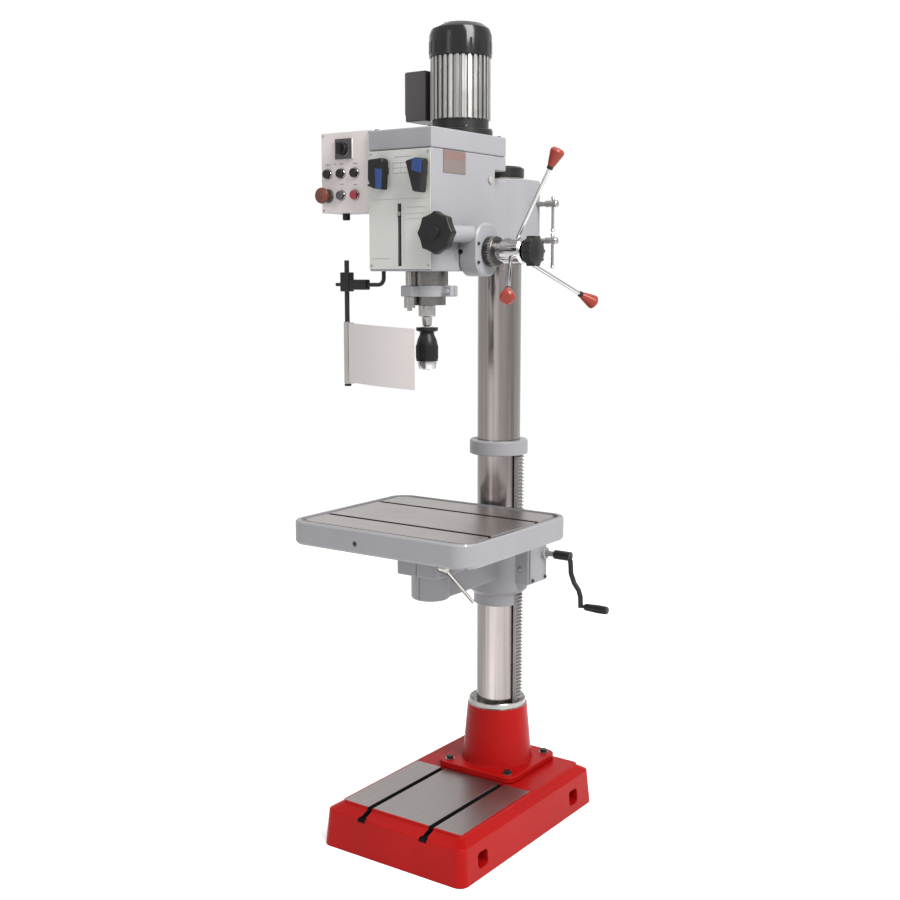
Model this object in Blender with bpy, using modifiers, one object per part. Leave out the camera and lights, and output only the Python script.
"""Pillar drill press with a geared head, modelled as separate named pieces.

Frame: +Z up, +X to the operator's right, -Y towards the operator. The origin is on the
floor at the middle of the base. Every length is in metres.
"""

import math

import bmesh
import bpy
from mathutils import Matrix, Vector

# ------------------------------------------------------------------ driving dimensions
GAP = 0.0003            # between two pieces that touch
RUN = 0.0005            # radial clearance of a piece that turns or slides

BASE_HALF_X, BASE_HALF_Y = 0.2210, 0.3215
BASE_EDGE_Z, BASE_TOP_Z = 0.093, 0.112
BASE_SLOT_X = 0.096     # T-slots either side of the middle
SLOT_NECK, SLOT_TEE = 0.014, 0.023

THROAT = 0.325          # spindle axis to column axis
COLUMN_Y = 0.167
SPINDLE_Y = COLUMN_Y - THROAT
COLUMN_R, COLUMN_WALL = 0.0575, 0.010
COLUMN_TOP_Z = 1.704

FOOT_HALF, FOOT_FLANGE_Z, FOOT_TOP_Z = 0.122, 0.130, 0.290
FOOT_R_LOW, FOOT_R_TOP = 0.095, 0.0817
FOOT_BOLT_AT = 0.094

RING_R, RING_LOW_TOP_Z = 0.078, 0.303
RING_HIGH_Z, RING_HIGH_TOP_Z = 0.981, 1.019
RACK_LIP_R, RACK_CONE_R = 0.0762, 0.0640       # mouth and bottom of the cones that hold the rack
RACK_BACK_X, RACK_FRONT_X, RACK_HALF_W = 0.0583, 0.0730, 0.014
RACK_TANG = 0.0100      # the part of each end that stands in a cone

RACK_MODULE, RACK_PINION_TEETH = 0.003, 12
LIFT_WHEEL_TEETH, LIFT_WHEEL_MODULE, LIFT_WORM_R = 20, 0.0024, 0.0095
LIFT_WORM_Y, LIFT_WORM_Z = COLUMN_Y + 0.040, 0.714

TABLE_Y = COLUMN_Y - 0.312
TABLE_HALF_X, TABLE_HALF_Y = 0.2710, 0.2315
TABLE_TOP_Z, TABLE_BOTTOM_Z = 0.854, 0.796
TABLE_SLOT_Y = 0.105
SLEEVE_R, SLEEVE_BOTTOM_Z, ARM_TOP_Z = 0.081, 0.572, 0.775
BOSS_R, BOSS_BOTTOM_Z, BLOCK_HALF, BLOCK_Z = 0.0495, 0.648, 0.061, 0.712
SPIGOT_R = 0.030
LOCK_Y, LOCK_Z = COLUMN_Y - 0.357, 0.742     # the screw that pinches the block round the spigot
CRANK_THROW = 0.130

HEAD_HALF_X, HEAD_WALL = 0.0925, 0.012
HEAD_FRONT_Y, HEAD_BACK_Y = SPINDLE_Y - 0.106, 0.002
HEAD_BOTTOM_Z, HEAD_SEAM_Z, HEAD_TOP_Z = 1.463, 1.744, 1.792
LID_BACK_Y = 0.052
CLAMP_HALF_X, CLAMP_FRONT_Y, CLAMP_BACK_Y = 0.072, COLUMN_Y - 0.012, COLUMN_Y + 0.086
CLAMP_LOW_Z, CLAMP_HIGH_Z = 1.488, 1.700
CLAMP_BOLT_Y, CLAMP_BOLTS_Z = COLUMN_Y + 0.0700, (1.638, 1.543)

QUILL_R, QUILL_BOTTOM_Z, QUILL_TOP_Z, QUILL_STROKE = 0.046, 1.382, 1.650, 0.115
FEED_Y, FEED_Z, FEED_SHAFT_R = COLUMN_Y - 0.270, 1.510, 0.012
FEED_MODULE, FEED_TEETH = 0.0024, 16
DEPTH_ROD_Y = SPINDLE_Y - 0.070
POINTER_Z = (1.592, 1.601)
SPINDLE_R = 0.021
CHUCK_TOP_Z, CHUCK_NOSE_Z = 1.328, 1.227

GEAR_MODULE = 0.0025
MOTOR_TEETH, COUNTER_BIG, COUNTER_SMALL, SPINDLE_TEETH = 16, 34, 18, 46
COUNTER_Y = SPINDLE_Y + GEAR_MODULE * (COUNTER_SMALL + SPINDLE_TEETH) / 2
MOTOR_Y = COUNTER_Y + GEAR_MODULE * (COUNTER_BIG + MOTOR_TEETH) / 2
MOTOR_R, MOTOR_BODY_Z, MOTOR_COWL_Z, MOTOR_TOP_Z = 0.0745, 1.832, 1.982, 2.067

WHEEL_X, WHEEL_Y, WHEEL_Z, WHEEL_R = 0.1185, -0.281, 1.550, 0.050
HOUSING_X, HOUSING_Y, HOUSING_Z = 0.1450, (-0.172, -0.046), (1.466, 1.562)
TUBE_R, TUBE_Y = 0.0200, (-0.262, -0.068)        # the worm's tube on the housing
DIAL_X = (0.1465, 0.1700)
HUB_X, HUB_END_X, HUB_R = 0.1845, 0.245, 0.031
SPOKE_R, SPOKE_BASE_X, SPOKE_TIP_X, SPOKE_TIP_R = 0.0045, 0.216, 0.326, 0.229
SPOKE_ANGLES = (87.4, -32.6, 207.4)

PANEL_X, PANEL_Y, PANEL_Z = (-0.249, -0.0930), (-0.253, -0.163), (1.604, 1.795)
BUTTON_X, BUTTON_ROWS_Z = (-0.228, -0.186, -0.143), (1.6975, 1.6455)
GUARD_Y, GUARD_X, GUARD_Z = -0.248, -0.177, 1.431

BIG_ROUND = 32          # sides of the column, the quill and their bores
ROUND = 22              # sides of a large round piece
SMALL_ROUND = 12        # sides of a small one

# ------------------------------------------------------------------ scene and materials
for old in list(bpy.data.objects):
    bpy.data.objects.remove(old, do_unlink=True)

PARTS = bpy.data.collections.new("drill_press")
CUTTERS = bpy.data.collections.new("cutters")
for collection in (PARTS, CUTTERS):
    bpy.context.scene.collection.children.link(collection)

FINISHES = {            # colour, roughness, metallic
    "red_paint": ((0.62, 0.02, 0.02), 0.35, 0.0),
    "grey_paint": ((0.52, 0.51, 0.54), 0.40, 0.0),
    "panel_white": ((0.80, 0.79, 0.77), 0.45, 0.0),
    "steel": ((0.55, 0.55, 0.55), 0.28, 1.0),
    "chrome": ((0.75, 0.75, 0.76), 0.12, 1.0),
    "aluminium": ((0.70, 0.70, 0.71), 0.35, 1.0),
    "black_plastic": ((0.02, 0.02, 0.02), 0.40, 0.0),
    "black_paint": ((0.03, 0.03, 0.03), 0.45, 0.0),
    "orange_plastic": ((0.60, 0.09, 0.03), 0.35, 0.0),
    "red_plastic": ((0.55, 0.03, 0.03), 0.35, 0.0),
    "clear_plastic": ((0.85, 0.80, 0.80), 0.15, 0.0),
    "glass": ((0.80, 0.70, 0.40), 0.05, 0.0),
}


def finish_material(slot):
    """The Principled material of a finish, made once."""
    if slot in bpy.data.materials:
        return bpy.data.materials[slot]
    colour, roughness, metallic = FINISHES[slot]
    material = bpy.data.materials.new(slot)
    material.use_nodes = True
    shader = material.node_tree.nodes["Principled BSDF"]
    shader.inputs["Base Color"].default_value = (*colour, 1.0)
    shader.inputs["Roughness"].default_value = roughness
    shader.inputs["Metallic"].default_value = metallic
    return material


# ------------------------------------------------------------------ modelling helpers
AIMS = {                # rotation that turns local +Z to the named direction
    "+Z": (0, 0, 0),
    "-Z": (math.pi, 0, 0),
    "+X": (0, math.pi / 2, 0),
    "-X": (0, -math.pi / 2, 0),
    "-Y": (math.pi / 2, 0, 0),
    "+Y": (-math.pi / 2, 0, 0),
}


def add_object(name, data, slot, at=(0, 0, 0), aim="+Z"):
    """A new object; with no finish it is a cutter or a helper for a union."""
    obj = bpy.data.objects.new(name, data)
    obj.location = at
    obj.rotation_euler = AIMS[aim]
    if slot is None:
        CUTTERS.objects.link(obj)
        obj.hide_render = True
        obj.display_type = "WIRE"
    else:
        PARTS.objects.link(obj)
        data.materials.append(finish_material(slot))
    return obj


def mesh_object(name, bm, slot, at=(0, 0, 0), aim="+Z"):
    """An object from a bmesh, shaded smooth except at its sharp edges."""
    bmesh.ops.recalc_face_normals(bm, faces=bm.faces)
    mesh = bpy.data.meshes.new(name)
    bm.to_mesh(mesh)
    bm.free()
    mesh.shade_smooth()
    mesh.set_sharp_from_angle(angle=math.radians(35))
    return add_object(name, mesh, slot, at, aim)


def box(name, low, high, slot=None, bevel=0.0):
    """A box between two corners, its edges rounded by bevel; its origin is its centre."""
    centre = [(a + b) / 2 for a, b in zip(low, high)]
    bm = bmesh.new()
    bmesh.ops.create_cube(bm, size=1.0)
    bmesh.ops.scale(bm, vec=[b - a for a, b in zip(low, high)], verts=bm.verts)
    obj = mesh_object(name, bm, slot, centre)
    if bevel:
        round_edges(obj, bevel)
    return obj


def round_edges(obj, width, segments=1, angle=50):
    bevel = obj.modifiers.new("rounding", "BEVEL")
    bevel.width = width
    bevel.segments = segments
    bevel.limit_method = "ANGLE"
    bevel.angle_limit = math.radians(angle)


def cylinder(name, radius, start, end, at, aim="+Z", slot=None, sides=SMALL_ROUND, end_radius=None):
    """A cylinder or cone along aim, from start to end measured from the point at."""
    bm = bmesh.new()
    bmesh.ops.create_cone(
        bm, cap_ends=True, segments=sides, depth=end - start,
        radius1=radius, radius2=radius if end_radius is None else end_radius,
    )
    bmesh.ops.translate(bm, vec=(0, 0, (start + end) / 2), verts=bm.verts)
    return mesh_object(name, bm, slot, at, aim)


def turned(name, profile, slot, at=(0, 0, 0), aim="+Z", steps=ROUND, ring=False):
    """A turned piece: the (radius, height) profile runs down its outer side."""
    mesh = bpy.data.meshes.new(name)
    count = len(profile)
    edges = [(i, i + 1) for i in range(count - 1)]
    if ring:
        edges.append((count - 1, 0))
    mesh.from_pydata([(r, 0.0, z) for r, z in profile], edges, [])
    obj = add_object(name, mesh, slot, at, aim)
    screw = obj.modifiers.new("turning", "SCREW")
    screw.steps = screw.render_steps = steps
    screw.use_merge_vertices = True
    screw.merge_threshold = 0.00005
    screw.use_smooth_shade = False
    return obj


def tube(name, outer, inner, start, end, slot, at, aim="+Z", steps=ROUND):
    """A plain ring between two heights along aim."""
    profile = [(outer, end), (outer, start), (inner, start), (inner, end)]
    return turned(name, profile, slot, at, aim, steps, ring=True)


def settle(obj):
    """The object as a plain mesh, with its curve or modifiers applied and its caps welded."""
    bpy.context.view_layer.update()
    evaluated = obj.evaluated_get(bpy.context.evaluated_depsgraph_get())
    mesh = bpy.data.meshes.new_from_object(evaluated)
    bm = bmesh.new()
    bm.from_mesh(mesh)
    bmesh.ops.remove_doubles(bm, verts=bm.verts, dist=0.00005)
    bm.to_mesh(mesh)
    bm.free()
    name, collection = obj.name, obj.users_collection[0]
    matrix = obj.matrix_world.copy()
    bpy.data.objects.remove(obj)
    solid = bpy.data.objects.new(name, mesh)
    solid.matrix_world = matrix
    collection.objects.link(solid)
    if collection is CUTTERS:
        solid.hide_render = True
        solid.display_type = "WIRE"
    return solid


def outline_solid(name, points, thickness, slot, at=(0, 0, 0), aim="+Z"):
    """A flat outline in local XY, thickened equally both ways along aim."""
    bm = bmesh.new()
    face = bm.faces.new([bm.verts.new((x, y, -thickness / 2)) for x, y in points])
    swept = bmesh.ops.extrude_face_region(bm, geom=[face])["geom"]
    raised = [item for item in swept if isinstance(item, bmesh.types.BMVert)]
    bmesh.ops.translate(bm, vec=(0, 0, thickness), verts=raised)
    return mesh_object(name, bm, slot, at, aim)


def rod(name, points, radius, slot, sides=2):
    """A bent round bar through the given points."""
    curve = bpy.data.curves.new(name, "CURVE")
    curve.dimensions = "3D"
    curve.bevel_depth = radius
    curve.bevel_resolution = sides
    curve.use_fill_caps = True
    spline = curve.splines.new("POLY")
    spline.points.add(len(points) - 1)
    for point, place in zip(spline.points, points):
        point.co = (*place, 1.0)
    return settle(add_object(name, curve, slot))


def loft(name, sections, slot, at=(0, 0, 0), aim="+Z"):
    """A closed skin through sections that have the same number of points."""
    bm = bmesh.new()
    rings = [[bm.verts.new(p) for p in section] for section in sections]
    for lower, upper in zip(rings, rings[1:]):
        for i in range(len(lower)):
            j = (i + 1) % len(lower)
            bm.faces.new((lower[i], lower[j], upper[j], upper[i]))
    bm.faces.new(rings[0][::-1])
    bm.faces.new(rings[-1])
    return mesh_object(name, bm, slot, at, aim)


def boolean(obj, other, operation):
    modifier = obj.modifiers.new(operation.lower(), "BOOLEAN")
    modifier.operation = operation
    modifier.object = other


def cut(obj, *cutters):
    for cutter in cutters:
        boolean(obj, cutter, "DIFFERENCE")


def join(obj, *others):
    for other in others:
        boolean(obj, other, "UNION")


def arc(x, y, radius, start, end, count):
    """Points of an arc, angles in degrees."""
    angles = [math.radians(start + (end - start) * i / count) for i in range(count + 1)]
    return [(x + radius * math.cos(a), y + radius * math.sin(a)) for a in angles]


def rounded_rectangle(half_x, half_y, radius, count=4, middle=(0.0, 0.0)):
    points = []
    for corner, (sx, sy) in enumerate(((1, 1), (-1, 1), (-1, -1), (1, -1))):
        x = middle[0] + sx * (half_x - radius)
        y = middle[1] + sy * (half_y - radius)
        points += arc(x, y, radius, 90 * corner, 90 * corner + 90, count)
    return points


def at_height(points, z):
    return [(x, y, z) for x, y in points]


def gear_outline(teeth, module, phase=0.0):
    """Straight-sided teeth; phase is the angle, in degrees, of the middle of one tooth."""
    pitch_r, pitch = teeth * module / 2, 360 / teeth
    root_r, tip_r = pitch_r - 1.2 * module, pitch_r + 0.8 * module
    points = []
    for i in range(teeth):
        middle = phase + i * pitch
        for radius, share in ((root_r, -0.29), (tip_r, -0.11), (tip_r, 0.11), (root_r, 0.29)):
            angle = math.radians(middle + share * pitch)
            points.append((radius * math.cos(angle), radius * math.sin(angle)))
    return points


def gear(name, teeth, module, start, end, slot, at, aim="+Z", phase=0.0):
    """A spur gear between two heights along aim."""
    centre = Vector(at) + aim_vector(aim) * (start + end) / 2
    return outline_solid(name, gear_outline(teeth, module, phase), end - start, slot, centre, aim)


def aim_vector(aim):
    sign = 1.0 if aim[0] == "+" else -1.0
    return sign * Vector([float(axis == aim[1]) for axis in "XYZ"])


def rack_outline(module, start, end, pitch_line, back, tooth_at, tang=0.0):
    """A rack along local Y from start to end, teeth towards +X, one tooth centred at tooth_at.

    With a tang, both ends of its back run on by that much.
    """
    pitch = math.pi * module
    root, tip = pitch_line - 1.2 * module, pitch_line + 0.8 * module
    first = math.ceil((start - tooth_at) / pitch + 0.5)
    last = math.floor((end - tooth_at) / pitch - 0.5)
    points = [(back, end + tang), (back, start - tang)]
    if tang:
        points.append((back + 0.0035, start - tang))
    points.append((root, start))
    for i in range(first, last + 1):
        middle = tooth_at + i * pitch
        points += [(root, middle - 0.29 * pitch), (tip, middle - 0.11 * pitch)]
        points += [(tip, middle + 0.11 * pitch), (root, middle + 0.29 * pitch)]
    points.append((root, end))
    if tang:
        points.append((back + 0.0035, end + tang))
    return points


def hexagon(across_flats, turn=0.0):
    radius = across_flats / math.sqrt(3)
    return arc(0, 0, radius, turn, turn + 300, 5)


def pivot(name, at):
    """An empty on a joint's axis, which carries the pieces that turn or slide there."""
    empty = bpy.data.objects.new(name, None)
    empty.location = at
    PARTS.objects.link(empty)
    return empty


def carry(empty, *pieces):
    """Parent the pieces to the empty without moving them."""
    for piece in pieces:
        piece.parent = empty
        piece.matrix_parent_inverse = Matrix.Translation(-Vector(empty.location))


# ------------------------------------------------------------------ stand
def t_slot(name, middle, bottom_z, top_z, start, end, along):
    """The neck and the tee of one T-slot, as two cutters."""
    tee_top = bottom_z + 0.010
    cutters = []
    for part, half, low, high in (
        ("neck", SLOT_NECK / 2, bottom_z, top_z + 0.01), ("tee", SLOT_TEE / 2, bottom_z, tee_top),
    ):
        if along == "Y":
            corners = (middle - half, start, low), (middle + half, end, high)
        else:
            corners = (start, middle - half, low), (end, middle + half, high)
        cutters.append(box(f"{name}_{part}", *corners))
    return cutters


def base_casting():
    levels = (
        (0.0, 0.0, 0.0, 0.0), (BASE_EDGE_Z, 0.008, 0.008, 0.008),
        (0.106, 0.0315, 0.042, 0.029), (BASE_TOP_Z, 0.0325, 0.043, 0.030),
    )
    sections = []
    for z, side, front, back in levels:
        middle_y = (front - back) / 2
        half_y = BASE_HALF_Y - (front + back) / 2
        outline = rounded_rectangle(BASE_HALF_X - side, half_y, 0.026 - side / 3, 3, (0, middle_y))
        sections.append(at_height(outline, z))
    casting = loft("base_casting", sections, "red_paint")
    wall, rib, ceiling = 0.022, 0.008, 0.070
    half_x, length = BASE_HALF_X - wall, 2 * (BASE_HALF_Y - wall)
    for column, (x0, x1) in enumerate(((-half_x, -rib), (rib, half_x))):
        for row in range(3):
            y0 = -BASE_HALF_Y + wall + row * length / 3 + rib * (row > 0)
            y1 = -BASE_HALF_Y + wall + (row + 1) * length / 3 - rib * (row < 2)
            inset = 0.062
            if row == 1:
                inset = 0.0
            outer = (x0 + inset if column == 0 else x0, x1 - inset if column == 1 else x1)
            cut(casting, box(f"base_cavity_{column}_{row}", (outer[0], y0, -0.01), (outer[1], y1, ceiling)))
    for side in (-1, 1):
        cut(casting, *t_slot(
            f"base_slot_{side}", side * BASE_SLOT_X, BASE_TOP_Z - 0.026, BASE_TOP_Z,
            -BASE_HALF_Y - 0.01, COLUMN_Y - FOOT_HALF - 0.001, "Y",
        ))
        for end, y in enumerate((COLUMN_Y - 0.3953, COLUMN_Y + 0.048)):
            name = f"anchor_{side}_{end}"
            outer, inner = side * (BASE_HALF_X + 0.01), side * (BASE_HALF_X - 0.044)
            low, high = min(outer, inner), max(outer, inner)
            pocket = box(name, (low, y - 0.021, 0.024), (high, y + 0.021, 0.064), bevel=0.010)
            hole = cylinder(f"{name}_hole", 0.0075, -0.01, 0.036, (side * (BASE_HALF_X - 0.024), y, 0))
            cut(casting, pocket, hole)
    for bolt, (x, y) in enumerate(foot_bolt_places()):
        cut(casting, cylinder(f"base_tapping_{bolt}", 0.0064, 0.095, 0.12, (x, y, 0)))
    return casting


def foot_bolt_places():
    return [(sx * FOOT_BOLT_AT, COLUMN_Y + sy * FOOT_BOLT_AT) for sy in (-1, 1) for sx in (-1, 1)]


def column_foot():
    low = BASE_TOP_Z + GAP
    flange = rounded_rectangle(FOOT_HALF, FOOT_HALF, 0.030, 3)
    foot = outline_solid(
        "column_foot", flange, FOOT_FLANGE_Z - low, "red_paint", (0, COLUMN_Y, (low + FOOT_FLANGE_Z) / 2))
    round_edges(foot, 0.003, 1)
    trunk_low = FOOT_FLANGE_Z - 0.002
    profile = [
        (0, FOOT_TOP_Z + 0.0015), (RACK_CONE_R, FOOT_TOP_Z + 0.0015), (RACK_LIP_R, RING_LOW_TOP_Z),
        (RING_R, RING_LOW_TOP_Z - 0.002), (RING_R, FOOT_TOP_Z), (FOOT_R_TOP, FOOT_TOP_Z - 0.002),
        (FOOT_R_LOW, FOOT_FLANGE_Z + 0.010), (FOOT_R_LOW + 0.004, trunk_low), (0, trunk_low),
    ]
    join(foot, turned("foot_trunk", profile, None, (0, COLUMN_Y, 0)))
    cut(foot, cylinder("foot_bore", COLUMN_R + GAP, 0.10, 0.32, (0, COLUMN_Y, 0), sides=BIG_ROUND))
    for bolt, (x, y) in enumerate(foot_bolt_places()):
        head = outline_solid(f"foot_bolt_{bolt}", hexagon(0.018, 15), 0.009, None, (x, y, FOOT_FLANGE_Z + 0.0035))
        shank = cylinder(f"foot_bolt_shank_{bolt}", 0.006, 0.098, 0.131, (x, y, 0))
        join(foot, head, shank)
    return foot


def column():
    axis = (0, COLUMN_Y, 0)
    low = BASE_TOP_Z + 2 * GAP
    shaft = tube("column_tube", COLUMN_R, COLUMN_R - COLUMN_WALL, low, COLUMN_TOP_Z, "steel", axis, steps=BIG_ROUND)
    plug_r = COLUMN_R - COLUMN_WALL - GAP
    cap_z, cap_top = COLUMN_TOP_Z + GAP, COLUMN_TOP_Z + 0.028
    profile = [
        (0, cap_top), (0.055, cap_top), (0.0625, cap_top - 0.005), (0.0625, cap_z),
        (plug_r, cap_z), (plug_r, cap_z - 0.015), (0, cap_z - 0.015),
    ]
    return [shaft, turned("column_cap", profile, "black_plastic", axis)]


def rack_ring():
    """The upper collar; its coned mouth holds the top end of the table rack."""
    bore = COLUMN_R + GAP
    return turned("rack_upper_ring", [
        (RING_R - 0.003, RING_HIGH_TOP_Z), (RING_R, RING_HIGH_TOP_Z - 0.003),
        (RING_R, RING_HIGH_Z + 0.002), (RACK_LIP_R, RING_HIGH_Z), (RACK_CONE_R, RING_HIGH_Z + 0.012),
        (bore, RING_HIGH_Z + 0.012), (bore, RING_HIGH_TOP_Z),
    ], "grey_paint", (0, COLUMN_Y, 0), steps=BIG_ROUND, ring=True)


def table_rack():
    """The toothed bar that turns round the column with the table arm."""
    start, end = RING_LOW_TOP_Z + 0.001, RING_HIGH_Z - 0.001
    pitch_line = RACK_FRONT_X - 0.8 * RACK_MODULE
    pinion_z = lift_pinion_place()[2]
    tooth_at = pinion_z + math.pi * RACK_MODULE / 2
    outline = rack_outline(RACK_MODULE, start, end, pitch_line, RACK_BACK_X, tooth_at, RACK_TANG)
    return outline_solid("table_rack", outline, 2 * RACK_HALF_W, "steel", (0, COLUMN_Y, 0), "-Y")


# ------------------------------------------------------------------ table arm and its lift
def lift_pinion_place():
    """Centre of the lift pinion: its axis runs along Y through this point."""
    x = RACK_FRONT_X - 0.8 * RACK_MODULE + RACK_MODULE * RACK_PINION_TEETH / 2
    wheel_r = LIFT_WHEEL_TEETH * LIFT_WHEEL_MODULE / 2
    return (x, COLUMN_Y, LIFT_WORM_Z - LIFT_WORM_R - wheel_r - 0.8 * LIFT_WHEEL_MODULE - 0.0005)


GEARBOX_X, GEARBOX_COVER_X = (0.040, 0.1160), 0.1205
GEARBOX_Y, GEARBOX_Z = (COLUMN_Y - 0.030, COLUMN_Y + 0.058), (0.636, 0.757)


def table_arm():
    axis = (0, COLUMN_Y, 0)
    arm = turned("table_arm", [
        (0, ARM_TOP_Z), (SLEEVE_R - 0.003, ARM_TOP_Z), (SLEEVE_R, ARM_TOP_Z - 0.003),
        (SLEEVE_R, 0.613), (0.066, 0.599), (0.066, SLEEVE_BOTTOM_Z + 0.001),
        (0.065, SLEEVE_BOTTOM_Z), (0, SLEEVE_BOTTOM_Z),
    ], "grey_paint", axis)
    web = box("arm_web", (-0.045, TABLE_Y, BOSS_BOTTOM_Z + 0.002), (0.045, COLUMN_Y - 0.02, ARM_TOP_Z - 0.004),
              bevel=0.006)
    boss = turned("arm_boss", [
        (0, BLOCK_Z + 0.01), (BOSS_R, BLOCK_Z + 0.01), (BOSS_R, BOSS_BOTTOM_Z + 0.004),
        (BOSS_R - 0.004, BOSS_BOTTOM_Z), (0, BOSS_BOTTOM_Z),
    ], None, (0, TABLE_Y, 0))
    block = box("arm_block", (-BLOCK_HALF, TABLE_Y - BLOCK_HALF, BLOCK_Z),
                (BLOCK_HALF, TABLE_Y + BLOCK_HALF, ARM_TOP_Z), bevel=0.005)
    gearbox = box("arm_gearbox", (GEARBOX_X[0], GEARBOX_Y[0], GEARBOX_Z[0]),
                  (GEARBOX_X[1], GEARBOX_Y[1], GEARBOX_Z[1]), bevel=0.005)
    lugs = box("arm_lugs", (-0.034, COLUMN_Y + 0.06, 0.618), (0.034, COLUMN_Y + 0.116, 0.766), bevel=0.005)
    join(arm, web, boss, block, gearbox, lugs)
    bore = cylinder("sleeve_bore", COLUMN_R + RUN, 0.55, 0.80, axis, sides=BIG_ROUND)
    channel_half, channel_x = RACK_HALF_W + RUN, RACK_FRONT_X + RUN
    channel = box("rack_channel", (0.03, COLUMN_Y - channel_half, 0.55),
                  (channel_x, COLUMN_Y + channel_half, 0.80))
    room = box("gear_room", (0.060, GEARBOX_Y[0] + 0.009, GEARBOX_Z[0] + 0.009),
               (0.13, GEARBOX_Y[1] - 0.007, GEARBOX_Z[1] - 0.009))
    split = box("sleeve_split", (-0.0015, COLUMN_Y + 0.05, 0.55), (0.0015, COLUMN_Y + 0.13, 0.80))
    x, _, z = lift_pinion_place()
    shaft_hole = cylinder("pinion_bores", 0.008 + RUN, -0.05, 0.10, (x, COLUMN_Y, z), "+Y")
    spigot_hole = cylinder("spigot_bore", SPIGOT_R + RUN, 0.62, 0.80, (0, TABLE_Y, 0), sides=ROUND)
    lug_hole = cylinder("lug_bore", 0.0065, -0.06, 0.025, (0, COLUMN_Y + 0.096, 0.700), "+X")
    lock_hole = cylinder("block_bore", 0.0065, -0.024, 0.07, (0, LOCK_Y, LOCK_Z), "+X")
    slit = box("block_slit", (-0.001, TABLE_Y - BLOCK_HALF - 0.01, 0.64), (0.001, TABLE_Y, 0.79))
    cut(arm, bore, channel, room, split, shaft_hole, lug_hole, lock_hole, slit, spigot_hole)
    return arm


def lift_gear_cover():
    x0 = GEARBOX_X[1] + GAP
    cover = box("lift_gear_cover", (x0, GEARBOX_Y[0] + 0.003, GEARBOX_Z[0] + 0.003),
                (GEARBOX_COVER_X, GEARBOX_Y[1] - 0.003, GEARBOX_Z[1] - 0.003), "grey_paint", 0.0014)
    boss = cylinder("cover_boss", 0.016, x0 + 0.002, 0.1290, (0, LIFT_WORM_Y, LIFT_WORM_Z), "+X", sides=ROUND)
    join(cover, boss)
    cut(cover, cylinder("cover_bore", 0.008 + RUN, 0.10, 0.15, (0, LIFT_WORM_Y, LIFT_WORM_Z), "+X"))
    return cover


def lift_gears():
    """Pinion with its cross shaft, the worm wheel pressed on it, and the worm above."""
    x, y, z = lift_pinion_place()
    pinion = gear("lift_pinion", RACK_PINION_TEETH, RACK_MODULE, -0.012, 0.012, "steel",
                  (x, y, z), "-Y", phase=180.0)
    join(pinion, cylinder("pinion_axle", 0.008, -0.029, 0.057, (x, y, z), "+Y"))
    join(pinion, gear("lift_worm_wheel", LIFT_WHEEL_TEETH, LIFT_WHEEL_MODULE, -0.0065, 0.0065, None,
                      (x, LIFT_WORM_Y - 0.001, z), "-Y"))
    shaft_r, thread_low = 0.008, x - 0.016
    profile = [(0, 0.180), (0.0065, 0.180), (0.0065, 0.1540), (shaft_r, 0.1540)]
    turns = 5
    for i in range(turns):
        top = thread_low + 0.032 * (turns - i) / turns
        profile += [(shaft_r, top), (LIFT_WORM_R, top - 0.0022), (LIFT_WORM_R, top - 0.0042)]
    profile += [(shaft_r, thread_low), (shaft_r, 0.0615), (0, 0.0615)]
    worm = turned("lift_worm", profile, None, (0, LIFT_WORM_Y, LIFT_WORM_Z), "+X", steps=SMALL_ROUND)
    return pinion, worm


def lift_crank(worm):
    """Offset crank keyed to the worm: hub, cranked arm, pin and turning grip."""
    hub_x, y, z = 0.1560, LIFT_WORM_Y, LIFT_WORM_Z
    hub = cylinder("lift_crank", 0.0125, hub_x, 0.2030, (0, y, z), "+X", "black_paint", 20)
    low_z = z - CRANK_THROW
    path = [
        (0.1960, z), (0.2030, z - 0.014), (0.2050, z - 0.045), (0.2150, z - 0.070),
        (0.2290, z - 0.088), (0.2345, z - 0.105), (0.2355, low_z - 0.004),
    ]
    arm = rod("crank_bar", [(px, y, pz) for px, pz in path], 0.0068, None)
    pin = cylinder("crank_pin", 0.0045, 0.2300, 0.3140, (0, y, low_z), "+X")
    join(hub, arm, pin, worm)
    bore = 0.0045 + RUN
    grip = turned("crank_grip", [
        (0, 0.3160), (0.0085, 0.3160), (0.0105, 0.3130), (0.0115, 0.2900), (0.0095, 0.2520), (0.0075, 0.2480),
        (bore, 0.2480), (bore, 0.3146), (0, 0.3146),
    ], "black_plastic", (0, y, low_z), "+X", steps=SMALL_ROUND)
    return hub, grip


def lock_lever(name, at, aim, tip, stud_back):
    """A clamping lever: a stud and hub along aim, with a slanting chrome bar to tip."""
    hub = turned(name, [
        (0, 0.022), (0.009, 0.022), (0.011, 0.020), (0.011, 0.001), (0.006, 0.001),
        (0.006, -stud_back), (0, -stud_back),
    ], "chrome", at, aim, steps=SMALL_ROUND)
    start = Vector(at) + aim_vector(aim) * 0.012
    end = Vector(tip)
    bar = rod(f"{name}_bar", [start, start.lerp(end, 0.5), end], 0.0048, None)
    join(hub, bar)
    return hub


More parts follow.
